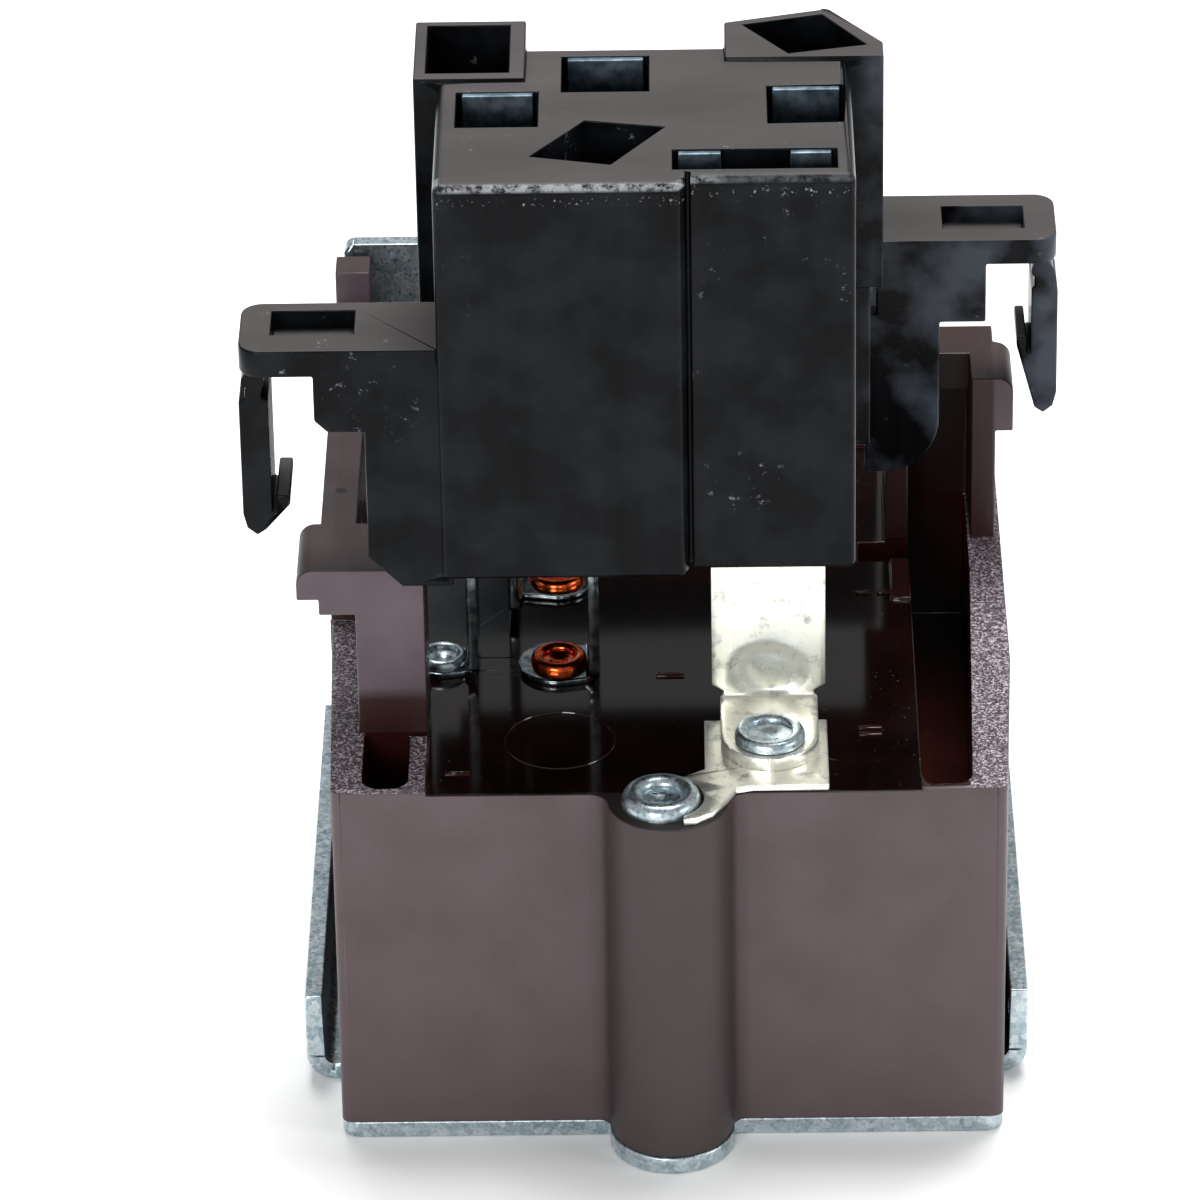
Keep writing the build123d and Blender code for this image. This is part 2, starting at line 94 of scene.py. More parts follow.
# one node with its settings, and a value or a link for each input; gives back one output
def add(tree, kind, feed=None, out=0, **settings):
    made = tree.nodes.new(kind)
    for key, value in settings.items():
        setattr(made, key, value)
    for key, value in (feed or {}).items():
        if isinstance(value, bpy.types.NodeSocket):
            tree.links.new(value, made.inputs[key])
        else:
            made.inputs[key].default_value = value
    return made.outputs[out]


studio = dict(floorSize=3.0, floorTone="F6F6F5", skyTone="F4F6F8", skyStrength=0.5,
              lamps=[("topSoftbox", (0.03, 0.14, 0.55), (0.32, 0.20), 4.2),
                     ("frontSoftbox", (-0.20, -0.60, 0.22), (0.26, 0.16), 2.0),
                     ("rightFill", (0.55, -0.22, 0.25), (0.18, 0.18), 0.8)])


def buildStudio():
    half = studio["floorSize"] / 2
    mesh = bpy.data.meshes.new("floor")
    mesh.from_pydata([(-half, -half, 0), (half, -half, 0), (half, half, 0), (-half, half, 0)], [],
                     [(0, 1, 2, 3)])
    floor = bpy.data.objects.new("floor", mesh)
    bpy.context.scene.collection.objects.link(floor)
    floor.location.z = -0.05 * mm
    paper = bpy.data.materials.new("palePaper")
    paper.use_nodes = True
    shader = paper.node_tree.nodes["Principled BSDF"]
    shader.inputs["Base Color"].default_value = linear(studio["floorTone"])
    shader.inputs["Roughness"].default_value = 0.9
    shader.inputs["Specular IOR Level"].default_value = 0.1
    mesh.materials.append(paper)
    world = bpy.data.worlds.new("softSky")
    bpy.context.scene.world = world
    world.use_nodes = True
    sky = world.node_tree.nodes["Background"]
    sky.inputs["Color"].default_value = linear(studio["skyTone"])
    sky.inputs["Strength"].default_value = studio["skyStrength"]
    for name, at, size, power in studio["lamps"]:
        light = bpy.data.lights.new(name, "AREA")
        light.shape = "RECTANGLE"
        light.size, light.size_y = size
        light.energy = power
        lamp = bpy.data.objects.new(name, light)
        bpy.context.scene.collection.objects.link(lamp)
        lamp.location = at
        lamp.rotation_euler = (Vector((0, 0, 0.03)) - Vector(at)).to_track_quat("-Z", "Y").to_euler()


buildStudio()
bpy.context.scene.view_settings.view_transform = "Standard"
print("camera, floor and light ready")


# a material with its shader and its place in mm
def startMaterial(name):
    material = bpy.data.materials.new(name)
    material.use_nodes = True
    tree = material.node_tree
    place = add(tree, "ShaderNodeTexCoord", out="Object")
    p = add(tree, "ShaderNodeVectorMath", {0: place, 1: (1000, 1000, 1000)}, operation="MULTIPLY")
    return material, tree, tree.nodes["Principled BSDF"], p


def mouldedPhenolic():
    # Phenolic, compression moulded: the deck comes off a polished tool and is glossy, its near black is
    # painted shade and dark reflection under the plug, and the faces inside the walls are painted darker
    # as shade; the outside is a dull brown with a faint draw, the trimmed wall tops are rough and carry
    # painted glints
    look = dict(outside=("483B3D", "524448"), low="46393A", speck="2C2023", boss="2E2425",
                block=("4A3E44", "544850"), tops=("2C2021", "392B2C"), cheek="2A1513",
                inside=("200D0C", "30120F"), deck=("0A0403", "150706"), topWithPaintedGlints=("3A2D33", "D2C6D0"),
                dust="8F8688", holeShade="0A0303",
                cloudSize=4.0, speckSize=0.2, frostSize=0.16, dustSize=0.16,
                outsideRough=0.46, deckRough=0.1, frostRough=0.32, bossHalf=3.6, greyFrom=25.2,
                footZ=4.0, sideX=18.3, rearY=19.8, ribX=-12.5, rightWallX=16.5, cheekX=(12.0, 18.7),
                pilots=[(-18.1, -4.5), (15.4, 12.8)], pilotRadius=0.3)
    material, tree, shader, p = startMaterial("mouldedPhenolic")
    facing = add(tree, "ShaderNodeTexCoord", out="Normal")
    n = add(tree, "ShaderNodeSeparateXYZ", {0: facing}).node.outputs
    at = add(tree, "ShaderNodeSeparateXYZ", {0: p}).node.outputs
    up = add(tree, "ShaderNodeMapRange", {0: n[2], 1: 0.6, 2: 0.9})
    clouds = add(tree, "ShaderNodeTexNoise",
                 {"Vector": p, "Scale": 1 / look["cloudSize"], "Detail": 3.0})
    specks = add(tree, "ShaderNodeTexNoise",
                 {"Vector": p, "Scale": 1 / look["speckSize"], "Detail": 2.0})
    # sets the painted glints of the wall tops and their bump, drawn coarser than the real glints, so
    # that they show
    trimGrainNoise = add(tree, "ShaderNodeTexNoise",
                 {"Vector": p, "Scale": 1 / look["frostSize"], "Detail": 4.0, "Roughness": 0.75})
    cloudy = add(tree, "ShaderNodeMapRange", {0: clouds, 1: 0.35, 2: 0.65})

    # where the surface is: deck, wall top, block or outside
    overDeck = add(tree, "ShaderNodeMapRange", {0: at[2], 1: wallZ - 0.12, 2: wallZ - 0.06})
    overWall = add(tree, "ShaderNodeMapRange", {0: at[2], 1: wallZ + 0.05, 2: wallZ + 0.12})
    underDeck = add(tree, "ShaderNodeMapRange", {0: at[2], 1: deckZ - 0.5, 2: deckZ - 0.3})
    deckBand = add(tree, "ShaderNodeMath", {0: underDeck, 1: overDeck}, operation="SUBTRACT")
    deck = add(tree, "ShaderNodeMath", {0: up, 1: deckBand}, operation="MULTIPLY")
    topBand = add(tree, "ShaderNodeMath", {0: overDeck, 1: overWall}, operation="SUBTRACT")
    wallTop = add(tree, "ShaderNodeMath", {0: up, 1: topBand}, operation="MULTIPLY")
    onLeft = add(tree, "ShaderNodeMapRange", {0: at[0], 1: look["ribX"] + 0.1, 2: look["ribX"] - 0.1})
    onRight = add(tree, "ShaderNodeMapRange",
                  {0: at[0], 1: look["rightWallX"] - 0.1, 2: look["rightWallX"] + 0.1})
    onWalls = add(tree, "ShaderNodeMath", {0: onLeft, 1: onRight}, operation="MAXIMUM")
    wallTop = add(tree, "ShaderNodeMath", {0: wallTop, 1: onWalls}, operation="MULTIPLY")
    atFront = add(tree, "ShaderNodeMapRange", {0: at[1], 1: frontY + 0.3, 2: frontY + 0.1})
    toSide = add(tree, "ShaderNodeMath", {0: at[0]}, operation="ABSOLUTE")
    atSide = add(tree, "ShaderNodeMapRange",
                 {0: toSide, 1: look["sideX"] - 0.1, 2: look["sideX"] + 0.1})
    atRear = add(tree, "ShaderNodeMapRange", {0: at[1], 1: look["rearY"] - 0.1, 2: look["rearY"] + 0.1})
    sides = add(tree, "ShaderNodeMath", {0: atSide, 1: atRear}, operation="MAXIMUM")
    outside = add(tree, "ShaderNodeMath", {0: atFront, 1: sides}, operation="MAXIMUM")

    skin = add(tree, "ShaderNodeMix",
               {0: cloudy, 6: linear(look["outside"][0]), 7: linear(look["outside"][1])},
               out=2, data_type="RGBA")
    pits = add(tree, "ShaderNodeMapRange", {0: specks, 1: 0.63, 2: 0.75, 4: 0.5})
    skin = add(tree, "ShaderNodeMix", {0: pits, 6: skin, 7: linear(look["speck"])},
               out=2, data_type="RGBA")
    # browner towards the foot, darker round the boss
    toFoot = add(tree, "ShaderNodeMapRange", {0: at[2], 1: wallZ, 2: look["footZ"], 4: 0.6})
    skin = add(tree, "ShaderNodeMix", {0: toFoot, 6: skin, 7: linear(look["low"])},
               out=2, data_type="RGBA")
    onBoss = add(tree, "ShaderNodeMapRange",
                 {0: toSide, 1: look["bossHalf"] + 0.9, 2: look["bossHalf"], 4: 0.75})
    skin = add(tree, "ShaderNodeMix", {0: onBoss, 6: skin, 7: linear(look["boss"])},
               out=2, data_type="RGBA")
    # painted shade: the faces inside the walls and channels take a dark red tone for the shade they lie
    # in
    inside = add(tree, "ShaderNodeMix",
                 {0: cloudy, 6: linear(look["inside"][0]), 7: linear(look["inside"][1])},
                 out=2, data_type="RGBA")
    blocks = add(tree, "ShaderNodeMix",
                 {0: cloudy, 6: linear(look["block"][0]), 7: linear(look["block"][1])},
                 out=2, data_type="RGBA")
    # above the walls the faces that look forward are dull and greyer, the greyer tone a painted
    # reflection of the pale floor, while the tops and cheeks are painted darker brown as shade under the
    # plug
    tops = add(tree, "ShaderNodeMix",
               {0: cloudy, 6: linear(look["tops"][0]), 7: linear(look["tops"][1])},
               out=2, data_type="RGBA")
    forward = add(tree, "ShaderNodeMapRange", {0: n[1], 1: -0.6, 2: -0.9})
    # painted reflection: the forward faces are grey only above this height, and below it they take the
    # dark red-brown tone of the deck they mirror
    wearAndPaintedLight = add(tree, "ShaderNodeMapRange",
                 {0: at[2], 1: look["greyFrom"] - 0.5, 2: look["greyFrom"] + 0.3})
    blocks = add(tree, "ShaderNodeMix", {0: wearAndPaintedLight, 6: linear(look["cheek"]), 7: blocks},
                 out=2, data_type="RGBA")
    # painted shade: on the right, short of the lug, the block faces and tops take the dark red-brown
    # tone of the shade and dark reflection they lie in
    redder = add(tree, "ShaderNodeMapRange",
                 {0: at[0], 1: look["cheekX"][0], 2: look["cheekX"][0] + 0.5})
    lug = add(tree, "ShaderNodeMapRange", {0: at[0], 1: look["cheekX"][1], 2: look["cheekX"][1] + 0.2})
    redder = add(tree, "ShaderNodeMath", {0: redder, 1: lug}, operation="SUBTRACT")
    tops = add(tree, "ShaderNodeMix", {0: redder, 6: tops, 7: linear(look["cheek"])},
               out=2, data_type="RGBA")
    blocks = add(tree, "ShaderNodeMix", {0: redder, 6: blocks, 7: linear(look["cheek"])},
                 out=2, data_type="RGBA")
    blocks = add(tree, "ShaderNodeMix", {0: forward, 6: tops, 7: blocks}, out=2, data_type="RGBA")
    # painted shade and reflection: the deck's near black stands in for the shade and dark reflection
    # under the plug; the pale motes on it are dust
    floorTone = add(tree, "ShaderNodeMix",
                    {0: cloudy, 6: linear(look["deck"][0]), 7: linear(look["deck"][1])},
                    out=2, data_type="RGBA")
    motes = add(tree, "ShaderNodeTexNoise", {"Vector": p, "Scale": 1 / look["dustSize"], "Detail": 1.0})
    motes = add(tree, "ShaderNodeMapRange", {0: motes, 1: 0.76, 2: 0.82, 4: 0.5})
    floorTone = add(tree, "ShaderNodeMix", {0: motes, 6: floorTone, 7: linear(look["dust"])},
                    out=2, data_type="RGBA")
    # painted highlight: pale glints mixed into the trimmed wall tops' colour
    glint = add(tree, "ShaderNodeMapRange", {0: trimGrainNoise, 1: 0.48, 2: 0.66})
    topWithPaintedGlints = add(tree, "ShaderNodeMix",
                {0: glint, 6: linear(look["topWithPaintedGlints"][0]), 7: linear(look["topWithPaintedGlints"][1])},
                out=2, data_type="RGBA")
    colour = add(tree, "ShaderNodeMix", {0: outside, 6: inside, 7: skin}, out=2, data_type="RGBA")
    colour = add(tree, "ShaderNodeMix", {0: overWall, 6: colour, 7: blocks}, out=2, data_type="RGBA")
    colour = add(tree, "ShaderNodeMix", {0: deck, 6: colour, 7: floorTone}, out=2, data_type="RGBA")
    colour = add(tree, "ShaderNodeMix", {0: wallTop, 6: colour, 7: topWithPaintedGlints}, out=2, data_type="RGBA")
    for x, y in look["pilots"]:          # small blind holes in the block tops, each painted as a dark dot of shade
        near = add(tree, "ShaderNodeVectorMath",
                   {0: p, 1: (x, y, blockTop)}, out=1, operation="DISTANCE")
        near = add(tree, "ShaderNodeMapRange",
                   {0: near, 1: look["pilotRadius"] + 0.06, 2: look["pilotRadius"]})
        colour = add(tree, "ShaderNodeMix", {0: near, 6: colour, 7: linear(look["holeShade"])},
                     out=2, data_type="RGBA")
    tree.links.new(colour, shader.inputs["Base Color"])

    blockDull = add(tree, "ShaderNodeMath", {0: overWall, 1: 0.75}, operation="MULTIPLY")
    dull = add(tree, "ShaderNodeMath", {0: outside, 1: blockDull}, operation="MAXIMUM")
    rough = add(tree, "ShaderNodeMapRange", {0: dull, 3: look["deckRough"], 4: look["outsideRough"]})
    rough = add(tree, "ShaderNodeMix", {0: wallTop, 2: rough, 3: look["frostRough"]})
    tree.links.new(rough, shader.inputs["Roughness"])
    shader.inputs["IOR"].default_value = 1.55
    shader.inputs["Specular IOR Level"].default_value = 0.3
    fine = add(tree, "ShaderNodeMath", {0: specks, 1: 0.12}, operation="MULTIPLY")
    fine = add(tree, "ShaderNodeMath", {0: fine, 1: dull}, operation="MULTIPLY")
    coarse = add(tree, "ShaderNodeMath", {0: trimGrainNoise, 1: wallTop}, operation="MULTIPLY")
    relief = add(tree, "ShaderNodeMath", {0: fine, 1: coarse})
    bump = add(tree, "ShaderNodeBump", {"Height": relief, "Strength": 0.7, "Distance": 0.12 * mm})
    tree.links.new(bump, shader.inputs["Normal"])
    return material


def scuffedNylon():
    # Black nylon, injection moulded: near black and satin on the walls with faint upright draw
    # lines, and handled: dust and a painted sheen lie grey on every top face, and corners carry pale
    # scuffs
    look = dict(wall=("040506", "0B0C0F"), dust=("3A3837", "4C4848"), paintedSheen="40454D", scuff="9A9CA0",
                drawSize=1.5, dustSize=7.0, scuffSize=0.9, patchSize=6.0, sheenSize=3.5, gritSize=0.2,
                edgeBand=(55.7, 55.9, 56.2, 56.35), rubAndHighlightBand=(56.55, 56.7, 56.9, 56.98),
                bandY=-13.6, rubX=(2.0, 3.5), skirtX=(10.6, 11.6), pocketZ=(48.7, 49.2), wingZ=48.4,
                wallRough=0.24, dustRough=0.5)
    material, tree, shader, p = startMaterial("scuffedNylon")
    facing = add(tree, "ShaderNodeTexCoord", out="Normal")
    n = add(tree, "ShaderNodeSeparateXYZ", {0: facing}).node.outputs
    at = add(tree, "ShaderNodeSeparateXYZ", {0: p}).node.outputs
    up = add(tree, "ShaderNodeMapRange", {0: n[2], 1: 0.8, 2: 0.97})
    long = add(tree, "ShaderNodeVectorMath", {0: p, 1: (1.0, 1.0, 0.05)}, operation="MULTIPLY")
    drawn = add(tree, "ShaderNodeTexNoise",
                {"Vector": long, "Scale": 1 / look["drawSize"], "Detail": 2.0})
    across = add(tree, "ShaderNodeVectorMath", {0: p, 1: (0.3, 1.0, 1.0)}, operation="MULTIPLY")
    cloudy = add(tree, "ShaderNodeTexNoise",
                 {"Vector": across, "Scale": 1 / look["dustSize"], "Detail": 5.0})
    wearAndPaintedLight = add(tree, "ShaderNodeTexNoise",
                 {"Vector": p, "Scale": 1 / look["scuffSize"], "Detail": 6.0, "Roughness": 0.8})
    patches = add(tree, "ShaderNodeTexNoise",
                  {"Vector": p, "Scale": 1 / look["patchSize"], "Detail": 1.0})
    grit = add(tree, "ShaderNodeTexNoise", {"Vector": p, "Scale": 1 / look["gritSize"], "Detail": 3.0})
    sheenNoise = add(tree, "ShaderNodeTexNoise", {"Vector": p, "Scale": 1 / look["sheenSize"], "Detail": 3.0})

    lines = add(tree, "ShaderNodeMapRange", {0: drawn, 1: 0.35, 2: 0.7})
    colour = add(tree, "ShaderNodeMix",
                 {0: lines, 6: linear(look["wall"][0]), 7: linear(look["wall"][1])},
                 out=2, data_type="RGBA")
    # painted sheen: a grey reflection band, heaviest on the right wing's skirt
    onSkirt = add(tree, "ShaderNodeMapRange",
                  {0: at[0], 1: look["skirtX"][0], 2: look["skirtX"][1], 3: 0.1, 4: 0.95})
    paintedSheen = add(tree, "ShaderNodeMapRange", {0: sheenNoise, 1: 0.4, 2: 0.62})
    paintedSheen = add(tree, "ShaderNodeMath", {0: paintedSheen, 1: onSkirt}, operation="MULTIPLY")
    colour = add(tree, "ShaderNodeMix", {0: paintedSheen, 6: colour, 7: linear(look["paintedSheen"])},
                 out=2, data_type="RGBA")
    drift = add(tree, "ShaderNodeMapRange", {0: cloudy, 1: 0.3, 2: 0.7})
    dust = add(tree, "ShaderNodeMix",
               {0: drift, 6: linear(look["dust"][0]), 7: linear(look["dust"][1])},
               out=2, data_type="RGBA")
    # dust and a painted sheen lie grey on the tops that can be reached, not on a pocket's floor
    reached = add(tree, "ShaderNodeMapRange", {0: at[2], 1: look["pocketZ"][0], 2: look["pocketZ"][1]})
    wing = add(tree, "ShaderNodeMapRange", {0: at[2], 1: look["wingZ"], 2: look["wingZ"] - 0.1})
    reached = add(tree, "ShaderNodeMath", {0: reached, 1: wing}, operation="MAXIMUM")
    dustAndSheen = add(tree, "ShaderNodeMath", {0: up, 1: reached}, operation="MULTIPLY")
    colour = add(tree, "ShaderNodeMix", {0: dustAndSheen, 6: colour, 7: dust}, out=2, data_type="RGBA")
    worn = add(tree, "ShaderNodeMapRange", {0: wearAndPaintedLight, 1: 0.62, 2: 0.7, 4: 0.7})
    area = add(tree, "ShaderNodeMapRange", {0: patches, 1: 0.54, 2: 0.62})
    worn = add(tree, "ShaderNodeMath", {0: worn, 1: area}, operation="MULTIPLY")
    # pale specks in a line under the top edge
    band = look["edgeBand"]
    rise = add(tree, "ShaderNodeMapRange", {0: at[2], 1: band[0], 2: band[1]})
    fall = add(tree, "ShaderNodeMapRange", {0: at[2], 1: band[3], 2: band[2]})
    edge = add(tree, "ShaderNodeMath", {0: rise, 1: fall}, operation="MULTIPLY")
    atFront = add(tree, "ShaderNodeMapRange", {0: at[1], 1: look["bandY"], 2: look["bandY"] - 0.4})
    edge = add(tree, "ShaderNodeMath", {0: edge, 1: atFront}, operation="MULTIPLY")
    sparks = add(tree, "ShaderNodeMapRange", {0: grit, 1: 0.62, 2: 0.7, 4: 0.6})
    edge = add(tree, "ShaderNodeMath", {0: edge, 1: sparks}, operation="MULTIPLY")
    pale = add(tree, "ShaderNodeMath", {0: worn, 1: edge}, operation="MAXIMUM")
    # the top edge itself is painted pale on the left of the front, partly rubbing wear and partly a
    # painted highlight along the fillet
    band = look["rubAndHighlightBand"]
    rise = add(tree, "ShaderNodeMapRange", {0: at[2], 1: band[0], 2: band[1]})
    fall = add(tree, "ShaderNodeMapRange", {0: at[2], 1: band[3], 2: band[2]})
    rubAndHighlight = add(tree, "ShaderNodeMath", {0: rise, 1: fall}, operation="MULTIPLY")
    rubAndHighlight = add(tree, "ShaderNodeMath", {0: rubAndHighlight, 1: atFront}, operation="MULTIPLY")
    patchy = add(tree, "ShaderNodeMapRange", {0: wearAndPaintedLight, 1: 0.42, 2: 0.56, 4: 0.75})
    toRight = add(tree, "ShaderNodeMapRange",
                  {0: at[0], 1: look["rubX"][0], 2: look["rubX"][1], 3: 1.0, 4: 0.25})
    patchy = add(tree, "ShaderNodeMath", {0: patchy, 1: toRight}, operation="MULTIPLY")
    rubAndHighlight = add(tree, "ShaderNodeMath", {0: rubAndHighlight, 1: patchy}, operation="MULTIPLY")
    pale = add(tree, "ShaderNodeMath", {0: pale, 1: rubAndHighlight}, operation="MAXIMUM")
    colour = add(tree, "ShaderNodeMix", {0: pale, 6: colour, 7: linear(look["scuff"])},
                 out=2, data_type="RGBA")
    tree.links.new(colour, shader.inputs["Base Color"])

    rough = add(tree, "ShaderNodeMapRange", {0: dustAndSheen, 3: look["wallRough"], 4: look["dustRough"]})
    tree.links.new(rough, shader.inputs["Roughness"])
    shader.inputs["Specular IOR Level"].default_value = 0.09
    relief = add(tree, "ShaderNodeMath", {0: wearAndPaintedLight, 1: grit})
    bump = add(tree, "ShaderNodeBump", {"Height": relief, "Strength": 0.2, "Distance": 0.04 * mm})
    tree.links.new(bump, shader.inputs["Normal"])
    return material


def zincPlate():
    # Zinc-plated mild steel, pressed: a bluish metal shine broken by a fine crystal spangle
    look = dict(tones=("8FA3AC", "D2DCE0"), spangle=0.45, grain=0.2, rough=(0.24, 0.42))
    material, tree, shader, p = startMaterial("zincPlate")
    cells = add(tree, "ShaderNodeTexVoronoi", {"Vector": p, "Scale": 1 / look["spangle"]}, out="Color")
    fine = add(tree, "ShaderNodeTexNoise", {"Vector": p, "Scale": 1 / look["grain"], "Detail": 4.0})
    shade = add(tree, "ShaderNodeMix", {0: 0.6, 2: cells, 3: fine})
    shade = add(tree, "ShaderNodeMapRange", {0: shade, 1: 0.3, 2: 0.7})
    colour = add(tree, "ShaderNodeMix",
                 {0: shade, 6: linear(look["tones"][0]), 7: linear(look["tones"][1])},
                 out=2, data_type="RGBA")
    tree.links.new(colour, shader.inputs["Base Color"])
    shader.inputs["Metallic"].default_value = 1.0
    rough = add(tree, "ShaderNodeMapRange",
                {0: fine, 1: 0.3, 2: 0.7, 3: look["rough"][0], 4: look["rough"][1]})
    tree.links.new(rough, shader.inputs["Roughness"])
    bump = add(tree, "ShaderNodeBump", {"Height": fine, "Strength": 0.25, "Distance": 0.03 * mm})
    tree.links.new(bump, shader.inputs["Normal"])
    return material


def brightTin():
    # Tin plate over brass strip, stamped: near white with a soft shine, rubbed grey where a
    # receptacle has scraped it
    look = dict(tones=("F4F3E8", "A9ADA8"), smear=1.2, grain=0.2, rough=(0.26, 0.4))
    material, tree, shader, p = startMaterial("brightTin")
    smear = add(tree, "ShaderNodeTexNoise",
                {"Vector": p, "Scale": 1 / look["smear"], "Detail": 6.0, "Roughness": 0.7})
    fine = add(tree, "ShaderNodeTexNoise", {"Vector": p, "Scale": 1 / look["grain"], "Detail": 3.0})
    worn = add(tree, "ShaderNodeMapRange", {0: smear, 1: 0.54, 2: 0.68})
    colour = add(tree, "ShaderNodeMix",
                 {0: worn, 6: linear(look["tones"][0]), 7: linear(look["tones"][1])},
                 out=2, data_type="RGBA")
    tree.links.new(colour, shader.inputs["Base Color"])
    shader.inputs["Metallic"].default_value = 0.9
    rough = add(tree, "ShaderNodeMapRange",
                {0: smear, 1: 0.35, 2: 0.7, 3: look["rough"][0], 4: look["rough"][1]})
    tree.links.new(rough, shader.inputs["Roughness"])
    bump = add(tree, "ShaderNodeBump", {"Height": fine, "Strength": 0.15, "Distance": 0.02 * mm})
    tree.links.new(bump, shader.inputs["Normal"])
    return material


# Drawn or stamped bare metal: one tone with a fine darker grain, and the shine of its rolling
def stampedMetal(name, tones, roughness, grainSize):
    material, tree, shader, p = startMaterial(name)
    fine = add(tree, "ShaderNodeTexNoise", {"Vector": p, "Scale": 1 / grainSize, "Detail": 4.0})
    shade = add(tree, "ShaderNodeMapRange", {0: fine, 1: 0.35, 2: 0.65})
    colour = add(tree, "ShaderNodeMix", {0: shade, 6: linear(tones[0]), 7: linear(tones[1])},
                 out=2, data_type="RGBA")
    tree.links.new(colour, shader.inputs["Base Color"])
    shader.inputs["Metallic"].default_value = 1.0
    shader.inputs["Roughness"].default_value = roughness
    bump = add(tree, "ShaderNodeBump", {"Height": fine, "Strength": 0.15, "Distance": 0.02 * mm})
    tree.links.new(bump, shader.inputs["Normal"])
    return material


def naturalNylon():
    # Unfilled nylon, injection moulded: milky, a little uneven, light enters it slightly
    look = dict(tones=("C9C2AE", "DDD8C8"), cloud=1.5)
    material, tree, shader, p = startMaterial("naturalNylon")
    cloudy = add(tree, "ShaderNodeTexNoise", {"Vector": p, "Scale": 1 / look["cloud"], "Detail": 4.0})
    shade = add(tree, "ShaderNodeMapRange", {0: cloudy, 1: 0.35, 2: 0.65})
    colour = add(tree, "ShaderNodeMix",
                 {0: shade, 6: linear(look["tones"][0]), 7: linear(look["tones"][1])},
                 out=2, data_type="RGBA")
    tree.links.new(colour, shader.inputs["Base Color"])
    shader.inputs["IOR"].default_value = 1.53
    shader.inputs["Roughness"].default_value = 0.42
    bump = add(tree, "ShaderNodeBump", {"Height": cloudy, "Strength": 0.1, "Distance": 0.05 * mm})
    tree.links.new(bump, shader.inputs["Normal"])
    return material


finishes = {
    "phenolic": mouldedPhenolic(),
    "black_plastic": scuffedNylon(),
    "zinc_steel": zincPlate(),
    "tinned_brass": brightTin(),
    "copper": stampedMetal("bareCopper", ("B8431A", "EC6A34"), 0.2, 0.3),
    "nylon": naturalNylon(),
    "enamelled_wire": stampedMetal("enamelledWire", ("8A3F18", "C06A30"), 0.26, 0.4),
    "soft_iron": stampedMetal("nickelledIron", ("7E7E7C", "B4B4B0"), 0.34, 0.3),
    "spring_bronze": stampedMetal("springBronze", ("A8703C", "CE9A62"), 0.26, 0.3),
    "silver_alloy": stampedMetal("silverAlloy", ("C4C3BE", "ECEBE6"), 0.22, 0.2),
    "spring_steel": stampedMetal("springSteel", ("5E6064", "9A9CA0"), 0.3, 0.2),
}
tinPaintedDark = stampedMetal("tinPaintedDark", ("565C60", "A0A8AC"), 0.16, 0.5)     # tin painted darker for the dark deck it mirrors
shadedTang = stampedMetal("tangShadedInPocket", ("46545F", "75858F"), 0.5, 0.8)  # plated strip down in a pocket, its tin painted darker blue-grey as shade
slotOf = {s["node"]: s["material_slot"] for s in frame["record"]["subparts"]}
bodyOf = {n: body for body, members in frame["record"]["behaviour"]["bodies"].items() for n in members}
for name, cadNode in nodes.items():
    cadNode.data.materials.clear()
    cadNode.data.materials.append(finishes[slotOf[name]])
print("materials ready:", len(finishes))


# a finished mesh as a named piece on a body
def pieceFrom(bm, name, body, slotName, material=None, sharp=35):
    mesh = bpy.data.meshes.new(name)
    bmesh.ops.recalc_face_normals(bm, faces=bm.faces)
    bm.to_mesh(mesh)
    bm.free()
    mesh.shade_smooth()
    mesh.set_sharp_from_angle(angle=radians(sharp))
    mesh.materials.append(material or finishes[slotName])
    piece = bpy.data.objects.new(name, mesh)
    bpy.context.scene.collection.objects.link(piece)
    flatten = piece.modifiers.new("evenLight", "WEIGHTED_NORMAL")    # keeps big faces looking flat
    flatten.keep_sharp = True
    flatten.use_face_influence = True
    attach(piece, body)
    return piece


# the ejector pin's mark on the deck: the moulding's ring is levelled, and a fine round rim drawn
deckRing = dict(x=-6.0, y=-14.15, reach=3.5, radii=(2.94, 2.99, 3.07, 3.13), rise=0.05)
strong = 16384                      # Blender's own number for a face that sets the shading


def inRing(spot):
    far = Vector((spot.x / mm - deckRing["x"], spot.y / mm - deckRing["y"])).length
    return far < deckRing["reach"] and deckZ - 0.4 < spot.z / mm < deckZ + 0.05


# the CAD shape with its moulded or sheared edges rounded over
def softened(nodeName, radius):
    bm = bmesh.new()
    bm.from_mesh(nodes[nodeName].data)
    if nodeName == "housing":
        for vert in bm.verts:
            if inRing(vert.co):
                vert.co.z = deckZ * mm
        noArea = [f for f in bm.faces if f.calc_area() < 1e-14]      # the ring's walls, now levelled
        bmesh.ops.delete(bm, geom=noArea, context="FACES")
    bmesh.ops.remove_doubles(bm, verts=bm.verts, dist=1e-6)
    bmesh.ops.dissolve_limit(bm, angle_limit=radians(0.6), verts=bm.verts, edges=bm.edges)
    edges = [e for e in bm.edges
             if len(e.link_faces) == 2 and e.calc_face_angle(0) > radians(38)
             and e.calc_length() > radius * mm * 1.2]
    strength = bm.faces.layers.int.new("__mod_weightednormals_faceweight")
    for face in bm.faces:
        face[strength] = strong
    rounded = bmesh.ops.bevel(bm, geom=edges, offset=radius * mm, segments=2, profile=0.5,
                              affect="EDGES", clamp_overlap=False)["faces"]
    for face in rounded:
        face[strength] = -strong         # the rounded edges take their light from the faces beside them
    bmesh.ops.triangulate(bm, faces=[f for f in bm.faces if len(f.verts) > 4])
    piece = pieceFrom(bm, nodeName + "Soft", bodyOf[nodeName], slotOf[nodeName])
    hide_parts(nodeName)


